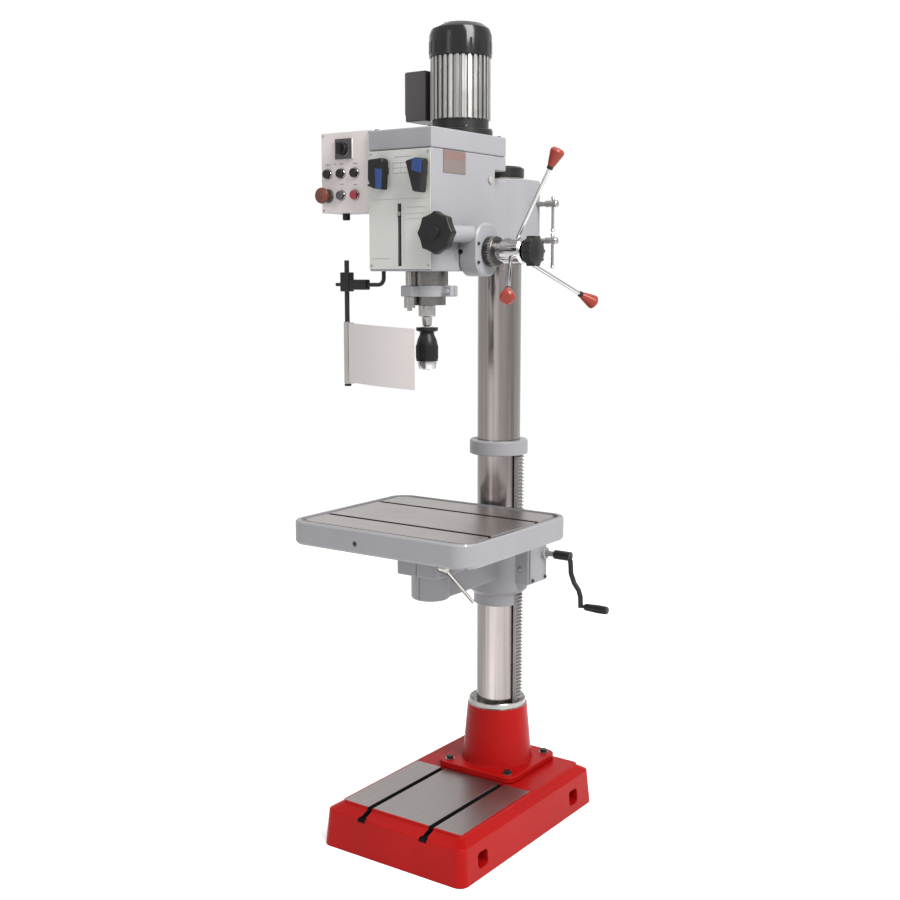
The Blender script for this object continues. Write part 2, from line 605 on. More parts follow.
# ------------------------------------------------------------------ table
def table_top():
    middle = (0.0, 0.0)
    body = loft("table_top", [
        at_height(rounded_rectangle(TABLE_HALF_X - 0.004, TABLE_HALF_Y - 0.004, 0.046, 5, middle), TABLE_BOTTOM_Z),
        at_height(rounded_rectangle(TABLE_HALF_X, TABLE_HALF_Y, 0.050, 5, middle), TABLE_BOTTOM_Z + 0.006),
        at_height(rounded_rectangle(TABLE_HALF_X, TABLE_HALF_Y, 0.050, 5, middle), TABLE_TOP_Z - 0.004),
        at_height(rounded_rectangle(TABLE_HALF_X - 0.004, TABLE_HALF_Y - 0.004, 0.046, 5, middle), TABLE_TOP_Z),
    ], "grey_paint", (0, TABLE_Y, 0))
    rim, channel, depth = 0.013, 0.012, 0.006
    outer = rounded_rectangle(TABLE_HALF_X - rim, TABLE_HALF_Y - rim, 0.040, 5, middle)
    inner_x, inner_y = TABLE_HALF_X - rim - channel, TABLE_HALF_Y - rim - channel
    inner = rounded_rectangle(inner_x, inner_y, 0.030, 5, middle)
    trough = outline_solid("table_trough", outer, 2 * depth, None, (0, TABLE_Y, TABLE_TOP_Z))
    plateau = outline_solid("table_plateau", inner, 0.04, None, (0, TABLE_Y, TABLE_TOP_Z - 0.0015 - 0.02))
    cut(trough, plateau)
    skim = outline_solid("table_skim", outer, 0.003, None, (0, TABLE_Y, TABLE_TOP_Z))
    cut(body, trough, skim)
    for side in (-1, 1):
        cut(body, *t_slot(
            f"table_slot_{side}", TABLE_Y + side * TABLE_SLOT_Y, TABLE_TOP_Z - 0.026, TABLE_TOP_Z,
            -inner_x - 0.002, inner_x + 0.002, "X",
        ))
    wall, ceiling = 0.014, TABLE_TOP_Z - 0.036
    for sx in (-1, 1):
        for sy in (-1, 1):
            xs = sorted((sx * 0.088, sx * (TABLE_HALF_X - wall)))
            ys = sorted((sy * 0.006, sy * (TABLE_HALF_Y - wall)))
            cut(body, box(f"table_pocket_{sx}_{sy}", (xs[0], TABLE_Y + ys[0], 0.78),
                          (xs[1], TABLE_Y + ys[1], ceiling), bevel=0.004))
    drain = cylinder("table_drain", 0.0065, TABLE_HALF_Y - 0.022, TABLE_HALF_Y + 0.01,
                     (-0.055, TABLE_Y, TABLE_TOP_Z - 0.034), "-Y")
    cut(body, drain)
    for i, y in enumerate((COLUMN_Y - 0.4257, COLUMN_Y - 0.2218)):
        cut(body, cylinder(f"trough_drain_{i}", 0.003, 0.0, 0.03, (inner_x + 0.006, y, TABLE_TOP_Z - 0.02), sides=10))
    join(body, table_spigot())
    return body


def table_spigot():
    top, rest = TABLE_BOTTOM_Z + 0.010, ARM_TOP_Z + GAP + 0.0005
    return turned("table_spigot", [
        (0, top), (0.056, top), (0.056, rest), (SPIGOT_R, rest),
        (SPIGOT_R, 0.662), (SPIGOT_R - 0.003, 0.659), (0, 0.659),
    ], None, (0, TABLE_Y, 0))


# ------------------------------------------------------------------ head
def head_casting():
    """Gear case, quill barrel, neck and the split clamp round the column, in one casting."""
    front, back = HEAD_FRONT_Y, HEAD_BACK_Y
    case = box("head_casting", (-HEAD_HALF_X, front, HEAD_BOTTOM_Z), (HEAD_HALF_X, back, HEAD_SEAM_Z),
               "grey_paint", 0.004)
    shelf = box("head_shelf", (-HEAD_HALF_X, back - 0.02, 1.709), (HEAD_HALF_X, LID_BACK_Y, HEAD_SEAM_Z), bevel=0.004)
    neck = box("head_neck", (-0.060, back - 0.02, CLAMP_LOW_Z + 0.006), (0.060, COLUMN_Y, CLAMP_HIGH_Z - 0.006),
               bevel=0.008)
    rise = box("head_neck_rise", (-0.060, back - 0.02, 1.600), (0.060, LID_BACK_Y - 0.004, 1.716), bevel=0.005)
    barrel = cylinder("head_barrel", 0.080, CLAMP_LOW_Z + 0.002, CLAMP_HIGH_Z - 0.002, (0, COLUMN_Y, 0), sides=ROUND)
    round_edges(barrel, 0.003)
    clamp = box("head_clamp", (-CLAMP_HALF_X, CLAMP_FRONT_Y, CLAMP_LOW_Z),
                (CLAMP_HALF_X, CLAMP_BACK_Y, CLAMP_HIGH_Z), bevel=0.006)
    nose = cylinder("quill_nose", 0.052, 1.430, HEAD_BOTTOM_Z + 0.005, (0, SPINDLE_Y, 0), sides=ROUND)
    join(case, shelf, neck, rise, barrel, clamp, nose)
    inner_x, inner_front = HEAD_HALF_X - HEAD_WALL, front + HEAD_WALL
    room = box("head_room", (-inner_x, inner_front, HEAD_BOTTOM_Z + HEAD_WALL), (inner_x, back - HEAD_WALL, 1.80))
    attic = box("head_attic", (-inner_x, inner_front, 1.7215), (inner_x, LID_BACK_Y - HEAD_WALL, 1.80))
    column_bore = cylinder("head_column_bore", COLUMN_R + RUN, 1.40, 1.80, (0, COLUMN_Y, 0), sides=BIG_ROUND)
    split = box("head_split", (-0.0015, COLUMN_Y + 0.05, 1.40), (0.0015, CLAMP_BACK_Y + 0.01, 1.80))
    quill_bore = cylinder("quill_bore", QUILL_R + RUN, 1.40, 1.50, (0, SPINDLE_Y, 0), sides=BIG_ROUND)
    rod_hole = cylinder("depth_rod_hole", 0.006 + RUN, 1.40, 1.50, (0, DEPTH_ROD_Y, 0))
    slot = box("depth_slot", (-0.0065, front - 0.01, 1.474), (0.0065, inner_front + 0.01, 1.621))
    shaft_hole = cylinder("feed_bore", FEED_SHAFT_R + RUN, -0.12, 0.12, (0, FEED_Y, FEED_Z), "+X", sides=ROUND)
    cut(case, room, attic)
    join(case, gear_floor())
    sleeve_seat = cylinder("sleeve_seat", 0.0185, 1.64, 1.68, (0, SPINDLE_Y, 0), sides=ROUND)
    counter_seat = cylinder("counter_seat", 0.0095, 1.64, 1.68, (0, COUNTER_Y, 0))
    cut(case, column_bore, split, quill_bore, rod_hole, slot, shaft_hole, sleeve_seat, counter_seat)
    for i, z in enumerate(CLAMP_BOLTS_Z):
        cut(case, cylinder(f"clamp_bore_{i}", 0.0065, -0.058, 0.09, (0, CLAMP_BOLT_Y, z), "+X"))
    for i, (x, z) in enumerate(gear_lever_places()):
        cut(case, cylinder(f"lever_bore_{i}", 0.0080 + RUN, 0.0, 0.04, (x, front + 0.02, z), "-Y"))
    cut(case, cylinder("guard_rod_bore", 0.005 + GAP, 1.455, 1.471, (-0.062, GUARD_Y, 0)))
    return case


def gear_lever_places():
    """X and Z of the two gear lever shafts on the front of the head."""
    return (-0.0480, 1.6960), (0.0640, 1.6880)


def head_cover():
    low = HEAD_SEAM_Z + GAP
    cover = box("head_cover", (-HEAD_HALF_X, HEAD_FRONT_Y, low), (HEAD_HALF_X, LID_BACK_Y, HEAD_TOP_Z),
                "grey_paint", 0.004)
    wall = 0.010
    cut(cover, box("cover_room", (-HEAD_HALF_X + wall, HEAD_FRONT_Y + wall, low - 0.01),
                   (HEAD_HALF_X - wall, LID_BACK_Y - wall, HEAD_TOP_Z - wall)))
    cut(cover, cylinder("motor_hole", 0.030, 1.77, 1.80, (0, MOTOR_Y, 0), sides=ROUND))
    return cover


def front_panel():
    y1 = HEAD_FRONT_Y - GAP
    panel = box("front_panel", (-0.0905, y1 - 0.002, 1.468), (0.0905, y1, HEAD_SEAM_Z - 0.001), "panel_white")
    cut(panel, box("panel_slot", (-0.0055, y1 - 0.01, 1.475), (0.0055, y1 + 0.01, 1.620)))
    for i, (x, z) in enumerate(gear_lever_places()):
        cut(panel, cylinder(f"panel_hole_{i}", 0.0080 + RUN, -0.01, 0.01, (x, y1, z), "-Y"))
    return panel


def oil_sight_glass():
    x0 = HEAD_HALF_X + GAP
    return turned("oil_sight_glass", [
        (0, x0 + 0.004), (0.007, x0 + 0.004), (0.0095, x0 + 0.0025), (0.0095, x0), (0, x0),
    ], "glass", (0, COLUMN_Y - 0.188, 1.684), "+X", steps=SMALL_ROUND)


def gear_floor():
    """The floor inside the gear case that holds the spindle sleeve and the countershaft."""
    reach = 0.004
    return box("gear_floor", (-HEAD_HALF_X + HEAD_WALL - reach, HEAD_FRONT_Y + HEAD_WALL - reach, 1.654),
               (HEAD_HALF_X - HEAD_WALL + reach, HEAD_BACK_Y - HEAD_WALL + reach, 1.664))


def head_clamp_screws():
    """Two clamping screws, each with a ball-ended tommy bar pressed through its head."""
    screws = []
    for name, z in zip(("upper", "lower"), CLAMP_BOLTS_Z):
        screw = turned(f"clamp_screw_{name}", [
            (0, 0.133), (0.0075, 0.133), (0.009, 0.1315), (0.009, 0.100), (0.0065, 0.096), (0.0065, 0.0735),
            (0.006, 0.0735), (0.006, -0.050), (0, -0.050),
        ], "steel", (0, CLAMP_BOLT_Y, z), "+X", steps=SMALL_ROUND)
        ball_r, rod_r, top, low = 0.0055, 0.0038, 0.0145, -0.0675
        bar = turned(f"tommy_bar_{name}", [
            (0, top + ball_r), (0.0036, top + 0.0045), (ball_r, top), (rod_r, top - 0.004),
            (rod_r, low + 0.004), (ball_r, low), (0.0036, low - 0.0045), (0, low - ball_r),
        ], None, (0.119, CLAMP_BOLT_Y, z), steps=SMALL_ROUND)
        join(screw, bar)
        screws.append(screw)
    return screws


# ------------------------------------------------------------------ feed, quill and spindle
def quill():
    """Quill with its rack, narrower inside where the spindle bearings sit."""
    waist, race, seat = 0.0240, 0.0170 + RUN, 0.020
    z0, z1 = QUILL_BOTTOM_Z, QUILL_TOP_Z
    body = turned("quill", [
        (QUILL_R, z1), (QUILL_R, z0), (race, z0), (race, z0 + seat), (waist, z0 + seat),
        (waist, z1 - seat), (race, z1 - seat), (race, z1),
    ], "steel", (0, SPINDLE_Y, 0), steps=BIG_ROUND, ring=True)
    flat = 0.0325
    cut(body, box("quill_flat", (-0.0170, SPINDLE_Y + flat, 1.486), (0.0170, SPINDLE_Y + 0.06, 1.70)))
    pitch_line = FEED_Y - SPINDLE_Y - FEED_MODULE * FEED_TEETH / 2
    tooth_at = FEED_Z + math.pi * FEED_MODULE / 2
    outline = rack_outline(FEED_MODULE, 1.4870, z1 - 0.001, pitch_line, flat - 0.003, tooth_at)
    rack = outline_solid("quill_rack", outline, 0.0330, None, (0, SPINDLE_Y, 0))
    rack.rotation_euler = (math.pi / 2, 0, math.pi / 2)
    join(body, rack)
    return body


def quill_collar():
    """Split clamp ring on the quill, with its screw lug and the lug of the depth rod."""
    z0, z1 = 1.4030, 1.4290
    collar = cylinder("quill_collar", 0.0595, z0, z1, (0, SPINDLE_Y, 0), slot="grey_paint", sides=ROUND)
    front_lug = box("collar_front_lug", (-0.017, DEPTH_ROD_Y - 0.014, z0), (0.017, SPINDLE_Y - 0.03, z1), bevel=0.003)
    side_lug = box("collar_side_lug", (0.03, SPINDLE_Y - 0.015, z0), (0.082, SPINDLE_Y + 0.015, z1), bevel=0.003)
    join(collar, front_lug, side_lug)
    cut(collar, cylinder("collar_bore", QUILL_R + GAP, 1.39, 1.44, (0, SPINDLE_Y, 0), sides=BIG_ROUND))
    cut(collar, box("collar_split", (0.04, SPINDLE_Y - 0.001, 1.39), (0.09, SPINDLE_Y + 0.001, 1.44)))
    cut(collar, cylinder("collar_rod_hole", 0.006 + GAP, 1.39, 1.44, (0, DEPTH_ROD_Y, 0)))
    join(collar, turned("collar_screw", [
        (0, 0.0235), (0.0055, 0.0235), (0.0055, 0.0125), (0.0032, 0.0125), (0.0032, -0.013), (0, -0.013),
    ], None, (0.072, SPINDLE_Y, (z0 + z1) / 2), "-Y", steps=SMALL_ROUND))
    return collar


def depth_gauge():
    """Depth rod that rides with the quill, its knurled nut and its pointer in the front slot."""
    stem = turned("depth_rod", [
        (0, 1.612), (0.005, 1.612), (0.006, 1.611), (0.006, 1.3705), (0.005, 1.3695), (0, 1.3695),
    ], "steel", (0, DEPTH_ROD_Y, 0), steps=SMALL_ROUND)
    nut = cylinder("depth_nut", 0.0135, 1.3765, 1.4025, (0, DEPTH_ROD_Y, 0), sides=SMALL_ROUND)
    low, high = POINTER_Z
    pointer = box("depth_pointer", (-0.0045, HEAD_FRONT_Y - 0.0045, low), (0.0045, DEPTH_ROD_Y, high))
    eye = cylinder("pointer_eye", 0.0100, low, high, (0, DEPTH_ROD_Y, 0))
    join(stem, pointer, eye, nut)
    return stem


def feed_shaft():
    profile = [
        (0, 0.262), (0.009, 0.262), (0.009, HUB_END_X), (FEED_SHAFT_R, HUB_END_X),
        (FEED_SHAFT_R, -0.1040), (0, -0.1040),
    ]
    shaft = turned("feed_shaft", profile, "steel", (0, FEED_Y, FEED_Z), "+X")
    pinion = gear("feed_pinion", FEED_TEETH, FEED_MODULE, -0.0125, 0.0125, None, (0, FEED_Y, FEED_Z), "+X")
    pinion.rotation_euler = (math.pi / 2, 0, math.pi / 2)
    join(shaft, pinion)
    return shaft


def feed_housing():
    """Side housing round the fine feed worm wheel, with the worm's tube across its top."""
    x0, (y0, y1), (z0, z1) = HEAD_HALF_X + GAP, HOUSING_Y, HOUSING_Z
    outline = rounded_rectangle((y1 - y0) / 2, (z1 - z0) / 2, 0.040, 5)
    middle = ((x0 + HOUSING_X) / 2, (y0 + y1) / 2, (z0 + z1) / 2)
    housing = outline_solid("feed_housing", outline, HOUSING_X - x0, "grey_paint", middle, "+X")
    round_edges(housing, 0.004, 1, 60)
    tube_length = TUBE_Y[1] - TUBE_Y[0]
    web = box("worm_web", (x0, HOUSING_Y[0] + 0.012, WHEEL_Z - 0.014), (WHEEL_X, TUBE_Y[1] - 0.004, WHEEL_Z + 0.014))
    worm_tube = cylinder("worm_tube", TUBE_R, 0.0, tube_length, (WHEEL_X, TUBE_Y[1], WHEEL_Z), "-Y", sides=ROUND)
    join(housing, web, worm_tube)
    cut(housing, cylinder("wheel_room", 0.0330, 0.08, 0.1300, (0, FEED_Y, FEED_Z), "+X", sides=ROUND))
    cut(housing, cylinder("worm_room", 0.0105, -0.020, 0.020, (WHEEL_X, FEED_Y, WHEEL_Z), "-Y"))
    cut(housing, cylinder("worm_shaft_hole", 0.0070 + RUN, 0.0, 0.25, (WHEEL_X, TUBE_Y[1] - 0.0055, WHEEL_Z), "-Y"))
    cut(housing, cylinder("feed_shaft_hole", FEED_SHAFT_R + RUN, 0.08, 0.16, (0, FEED_Y, FEED_Z), "+X", sides=ROUND))
    return housing


def feed_hub():
    """Graduated dial and hub on the feed shaft, three spokes with knobs, and the clutch knob."""
    axis = (0, FEED_Y, FEED_Z)
    bore = FEED_SHAFT_R + GAP
    dial = turned("feed_dial", [
        (0.034, DIAL_X[1]), (0.0360, DIAL_X[1] - 0.002), (0.0360, DIAL_X[0]), (bore, DIAL_X[0]), (bore, DIAL_X[1]),
    ], "steel", axis, "+X", ring=True)
    hub = turned("feed_hub", [
        (0.026, HUB_END_X), (HUB_R, HUB_END_X - 0.005), (HUB_R, HUB_X + 0.010), (0.026, HUB_X + 0.002),
        (0.026, DIAL_X[1] + GAP), (bore, DIAL_X[1] + GAP), (bore, HUB_END_X),
    ], "chrome", axis, "+X", ring=True)
    knobs = []
    for i, angle in enumerate(SPOKE_ANGLES):
        outward = Vector((0, math.cos(math.radians(angle)), math.sin(math.radians(angle))))
        base = Vector(axis) + Vector((SPOKE_BASE_X, 0, 0)) + outward * 0.016
        tip = Vector(axis) + Vector((SPOKE_TIP_X, 0, 0)) + outward * SPOKE_TIP_R
        along = (tip - base).normalized()
        turn = along.to_track_quat("Z", "Y").to_euler()
        length = (tip - base).length
        spoke = cylinder(f"feed_spoke_{i + 1}", SPOKE_R, 0, length - 0.006, base, sides=SMALL_ROUND)
        knob = turned(f"feed_knob_{i + 1}", [
            (0, length + 0.004), (0.0125, length + 0.002), (0.0172, length - 0.003),
            (0.0167, length - 0.009), (0.0092, length - 0.037), (0.0074, length - 0.041),
            (SPOKE_R + GAP, length - 0.041), (SPOKE_R + GAP, length - 0.006 + GAP), (0, length - 0.006 + GAP),
        ], "orange_plastic", base, steps=SMALL_ROUND)
        for piece in (spoke, knob):
            piece.rotation_euler = turn
        join(hub, spoke)
        knobs.append(knob)
    clutch = turned("clutch_knob", lobed_blank(0.2500, 0.2840), "black_plastic", axis, "+X")
    return dial, hub, knobs, clutch


def lobed_blank(start, end):
    bore = 0.009 + RUN
    return [
        (0, end), (0.020, end), (0.0335, end - 0.006), (0.0345, start + 0.010), (0.030, start + 0.003),
        (0.016, start), (bore, start), (bore, 0.2625), (0, 0.2625),
    ]


def return_spring():
    """Clock spring that lifts the quill, in a cup on the left end of the feed shaft."""
    x0 = -HEAD_HALF_X - GAP
    axis = (0, FEED_Y, FEED_Z)
    depth = 0.024
    cup = turned("return_spring_cup", [
        (0, -x0 + depth), (0.034, -x0 + depth), (0.037, -x0 + depth - 0.003), (0.037, -x0),
        (0.034, -x0), (0.034, -x0 + depth - 0.003), (0, -x0 + depth - 0.003),
    ], "black_paint", axis, "-X")
    turns, steps, width = 3, 10, 0.0012
    inner, outer = FEED_SHAFT_R + 0.0010, 0.0320
    outside, inside = [], []
    for i in range(turns * steps + 1):
        angle = 2 * math.pi * i / steps
        radius = inner + width + (outer - inner - width) * i / (turns * steps)
        outside.append((radius * math.cos(angle), radius * math.sin(angle)))
        inside.append(((radius - width) * math.cos(angle), (radius - width) * math.sin(angle)))
    spring = outline_solid("return_spring", outside + inside[::-1], 0.009, "steel",
                           (x0 - 0.0065, FEED_Y, FEED_Z), "-X")
    return cup, spring


def fine_feed():
    """Fine feed worm on its shaft, the worm wheel round the feed shaft, and the handwheel."""
    axis = (WHEEL_X, 0, WHEEL_Z)
    worm_r, root_r, middle = 0.0088, 0.0070, -FEED_Y
    profile = [(0, -WHEEL_Y - 0.006), (root_r, -WHEEL_Y - 0.006)]
    turns, half = 5, 0.015
    for i in range(turns):
        top = middle + half - 2 * half * i / turns
        profile += [(root_r, top), (worm_r, top - 0.0020), (worm_r, top - 0.0040)]
    low = 0.0080 - TUBE_Y[1]
    profile += [(root_r, middle - half), (root_r, low), (0, low)]
    worm = turned("fine_feed_worm", profile, None, axis, "-Y", steps=SMALL_ROUND)
    wheel = gear("fine_feed_worm_wheel", 20, 0.0028, -0.009, 0.009, "steel", (WHEEL_X, FEED_Y, FEED_Z), "+X")
    cut(wheel, cylinder("fine_wheel_bore", FEED_SHAFT_R + RUN, -0.02, 0.02, (WHEEL_X, FEED_Y, FEED_Z), "+X", sides=ROUND))
    lobes = 8
    outline = []
    for i in range(lobes * 3):
        angle = 2 * math.pi * i / (lobes * 3)
        radius = WHEEL_R - 0.0035 + 0.0035 * math.cos(lobes * angle)
        outline.append((radius * math.cos(angle), radius * math.sin(angle)))
    handwheel = outline_solid("fine_feed_handwheel", outline, 0.022, "black_plastic",
                              (WHEEL_X, WHEEL_Y, WHEEL_Z), "-Y")
    round_edges(handwheel, 0.004, 1, 60)
    join(handwheel, cylinder("handwheel_boss", 0.020, -0.016, 0.018, (WHEEL_X, WHEEL_Y, WHEEL_Z), "-Y", sides=ROUND,
                             end_radius=0.014))
    join(handwheel, worm)
    return wheel, handwheel


def spindle():
    """Spindle with a long upper spline, and the arbor that carries the chuck."""
    stem = turned("spindle", [
        (0, 1.7780), (0.0120, 1.7780), (0.0120, QUILL_TOP_Z + 0.001), (0.0170, QUILL_TOP_Z + 0.001),
        (0.0170, QUILL_BOTTOM_Z - 0.001), (SPINDLE_R, QUILL_BOTTOM_Z - 0.001), (SPINDLE_R, 1.3560),
        (0.0190, 1.3535), (0.0130, 1.3535), (0.0115, 1.3330), (0.0070, 1.3300), (0, 1.3300),
    ], "steel", (0, SPINDLE_Y, 0))
    return stem


def chuck():
    """Keyless chuck: steel core with three jaws in its mouth, and the sleeve that turns round it."""
    axis = (0, SPINDLE_Y, 0)
    core = turned("chuck_core", [
        (0, 1.3297), (0.0150, 1.3297), (0.0150, 1.2455), (0.0228, 1.2455), (0.0235, 1.2400),
        (0.0205, CHUCK_NOSE_Z), (0, CHUCK_NOSE_Z),
    ], "chrome", axis)
    cut(core, cylinder("chuck_mouth", 0.0085, CHUCK_NOSE_Z - 0.01, CHUCK_NOSE_Z + 0.030, axis))
    for i in range(3):
        angle = 2 * math.pi * i / 3 + math.pi / 2
        place = (0.0075 * math.cos(angle), SPINDLE_Y + 0.0075 * math.sin(angle), CHUCK_NOSE_Z)
        join(core, cylinder(f"chuck_jaw_{i + 1}", 0.0028, -0.003, 0.036, place, sides=SMALL_ROUND))
    sleeve = turned("chuck_sleeve", [
        (0.0270, CHUCK_TOP_Z), (0.0270, CHUCK_TOP_Z - 0.008), (0.0175, CHUCK_TOP_Z - 0.012),
        (0.0180, CHUCK_TOP_Z - 0.018), (0.0235, CHUCK_TOP_Z - 0.030), (0.0268, CHUCK_TOP_Z - 0.044),
        (0.0268, 1.2460),
        (0.0150 + RUN, 1.2460), (0.0150 + RUN, CHUCK_TOP_Z),
    ], "black_plastic", axis, steps=ROUND, ring=True)
    return core, sleeve


# ------------------------------------------------------------------ gear train and motor
def gear_train():
    axis = (0, SPINDLE_Y, 0)
    bull = gear("spindle_gear", SPINDLE_TEETH, GEAR_MODULE, 1.6760, 1.6920, "steel", axis, phase=90.0)
    join(bull, cylinder("gear_sleeve", 0.0180, 1.6520, 1.7000, axis, sides=ROUND))
    cut(bull, cylinder("spline_bore", 0.0120 + RUN, 1.64, 1.71, axis, sides=ROUND))
    middle = (0, COUNTER_Y, 0)
    counter = gear("countershaft", COUNTER_BIG, GEAR_MODULE, 1.7240, 1.7380, "steel", middle,
                   phase=90.0 + 180 / COUNTER_BIG)
    small = gear("counter_pinion", COUNTER_SMALL, GEAR_MODULE, 1.6740, 1.6940, None, middle,
                 phase=-90.0 + 180 / COUNTER_SMALL)
    join(counter, small, cylinder("counter_axle", 0.0090, 1.6450, 1.7720, middle))
    return bull, counter


def motor():
    """Flange motor: flange, finned body, fan cowl, terminal box, and the rotor inside."""
    axis = (0, MOTOR_Y, 0)
    flange = turned("motor_flange", [
        (0.078, 1.8090), (0.080, 1.8070), (0.080, HEAD_TOP_Z + GAP), (0.031, HEAD_TOP_Z + GAP),
        (0.031, MOTOR_BODY_Z - GAP), (0.0700, MOTOR_BODY_Z - GAP), (0.0700, 1.8090),
    ], "black_paint", axis, ring=True)
    fins, low, high = 30, MOTOR_BODY_Z, MOTOR_COWL_Z - GAP
    outline = []
    for i in range(fins):
        for radius, share in ((0.0665, 0.20), (0.0665, 0.50), (MOTOR_R, 0.60), (MOTOR_R, 1.10)):
            angle = 2 * math.pi * (i + share) / fins
            outline.append((radius * math.cos(angle), radius * math.sin(angle)))
    body = outline_solid("motor_body", outline, high - low, "aluminium", (0, MOTOR_Y, (low + high) / 2))
    cut(body, cylinder("stator_bore", 0.045, low - 0.01, high + 0.01, axis, sides=ROUND))
    cowl = turned("motor_fan_cowl", [
        (0, MOTOR_TOP_Z), (0.030, MOTOR_TOP_Z - 0.001), (0.058, MOTOR_TOP_Z - 0.007), (0.0725, MOTOR_TOP_Z - 0.018),
        (0.0775, MOTOR_TOP_Z - 0.033), (0.0775, MOTOR_COWL_Z), (0.0750, MOTOR_COWL_Z),
        (0.0750, MOTOR_TOP_Z - 0.033), (0.0700, MOTOR_TOP_Z - 0.020), (0.056, MOTOR_TOP_Z - 0.010),
        (0.030, MOTOR_TOP_Z - 0.004), (0, MOTOR_TOP_Z - 0.0035),
    ], "black_plastic", axis)
    terminal = box("motor_terminal_box", (-0.1400, MOTOR_Y - 0.042, 1.8340), (-0.0765, MOTOR_Y + 0.042, 1.9560),
                   "black_plastic", 0.004)
    rotor = turned("motor_rotor", [
        (0, 2.0300), (0.0080, 2.0300), (0.0080, 1.9700), (0.0430, 1.9700), (0.0430, 1.8450), (0.0120, 1.8450),
        (0.0120, 1.7225), (0, 1.7225),
    ], "steel", axis)
    join(rotor, gear("motor_pinion", MOTOR_TEETH, GEAR_MODULE, 1.7230, 1.7400, None, axis, phase=-90.0))
    join(rotor, cylinder("fan_hub", 0.0260, 1.9900, 2.0200, axis, sides=ROUND))
    for blade in range(3):
        vane = box(f"fan_vane_{blade}", (-0.066, -0.0015, -0.013), (0.066, 0.0015, 0.013))
        vane.location = (0, MOTOR_Y, 2.005)
        vane.rotation_euler = (0, 0, math.pi * blade / 3)
        join(rotor, vane)
    return [flange, body, cowl, terminal], rotor


# ------------------------------------------------------------------ controls
def gear_levers():
    """Two moulded selector levers, each a hub on a shaft with a tapered wing and a blue inlay."""
    pairs = []
    y1 = HEAD_FRONT_Y - 0.0029
    shapes = {
        "left": [(-0.021, 0.026), (-0.022, -0.020), (-0.012, -0.040), (0.020, -0.045), (0.024, 0.020), (0.020, 0.028)],
        "right": [(-0.024, 0.026), (-0.003, -0.044), (0.020, -0.047), (0.026, 0.010), (0.027, 0.030), (0.004, 0.032)],
    }
    for (name, outline), (x, z) in zip(shapes.items(), gear_lever_places()):
        lever = outline_solid(f"gear_lever_{name}", outline, 0.026, "black_plastic", (x, y1 - 0.019, z), "-Y")
        round_edges(lever, 0.005, 1, 30)
        skirt = cylinder(f"lever_skirt_{name}", 0.019, 0.0, 0.012, (x, y1, z), "-Y", sides=ROUND)
        stub = cylinder(f"lever_stub_{name}", 0.0080, -0.030, 0.004, (x, y1, z), "-Y")
        join(lever, skirt, stub)
        pairs.append(lever)
    return pairs


def control_box():
    (x0, x1), (y0, y1), (z0, z1) = PANEL_X, PANEL_Y, PANEL_Z
    wall = 0.0025
    case = box("control_box", (x0, y0 + 0.0023, z0), (x1, y1, z1), "grey_paint", 0.003)
    cut(case, box("control_room", (x0 + wall, y0 - 0.01, z0 + wall), (x1 - wall, y1 - wall, z1 - wall)))
    plate = box("control_panel", (x0, y0, z0), (x1, y0 + 0.0020, z1), "panel_white")
    join(plate, box("switch_plate", (SWITCH_X - 0.0265, y0 - 0.0065, SWITCH_Z - 0.0245),
                    (SWITCH_X + 0.0265, y0 + 0.0010, SWITCH_Z + 0.0245), bevel=0.002))
    for i, (x, z, radius) in enumerate(control_holes()):
        cut(plate, cylinder(f"control_hole_{i}", radius, -0.01, 0.01, (x, y0, z), "-Y"))
    return case, plate


SWITCH_X, SWITCH_Z = -0.1740, 1.7550
STEM_R, ESTOP = 0.0085, (BUTTON_X[0], BUTTON_ROWS_Z[1])


def control_holes():
    holes = [(x, z, STEM_R + RUN) for z in BUTTON_ROWS_Z for x in BUTTON_X]
    return holes + [(SWITCH_X, SWITCH_Z, 0.006 + RUN)]


def controls():
    """Main rotary switch, five push buttons and the mushroom stop."""
    y0 = PANEL_Y[0]
    place = (SWITCH_X, y0, SWITCH_Z)
    knob = turned("main_switch", [
        (0, 0.0190), (0.0135, 0.0190), (0.0150, 0.0175), (0.0165, 0.0072), (0.006, 0.0072), (0.006, -0.012),
        (0, -0.012),
    ], "black_plastic", place, "-Y", steps=SMALL_ROUND)
    grip = box("switch_grip", (SWITCH_X - 0.0045, y0 - 0.0300, SWITCH_Z - 0.0140),
               (SWITCH_X + 0.0045, y0 - 0.0150, SWITCH_Z + 0.0140), bevel=0.0015)
    join(knob, grip)
    buttons = []
    colours = ["black_plastic"] * 3 + [None, "black_plastic", "red_plastic"]
    places = [(x, z) for z in BUTTON_ROWS_Z for x in BUTTON_X]
    for i, ((x, z), slot) in enumerate(zip(places, colours)):
        if slot is None:
            continue
        name = f"push_button_{len(buttons) + 1}"
        buttons.append(turned(name, [
            (0, 0.0120), (0.0090, 0.0120), (0.0105, 0.0105), (0.0105, 0.0060), (STEM_R, 0.0060), (STEM_R, -0.010),
            (0, -0.010),
        ], slot, (x, y0, z), "-Y", steps=SMALL_ROUND))
    stop = turned("emergency_stop", [
        (0, 0.0330), (0.0120, 0.0325), (0.0185, 0.0295), (0.0200, 0.0255), (0.0190, 0.0225), (0.0120, 0.0200),
        (STEM_R, 0.0190), (STEM_R, -0.010), (0, -0.010),
    ], "red_plastic", (ESTOP[0], y0, ESTOP[1]), "-Y")
    return knob, buttons, stop


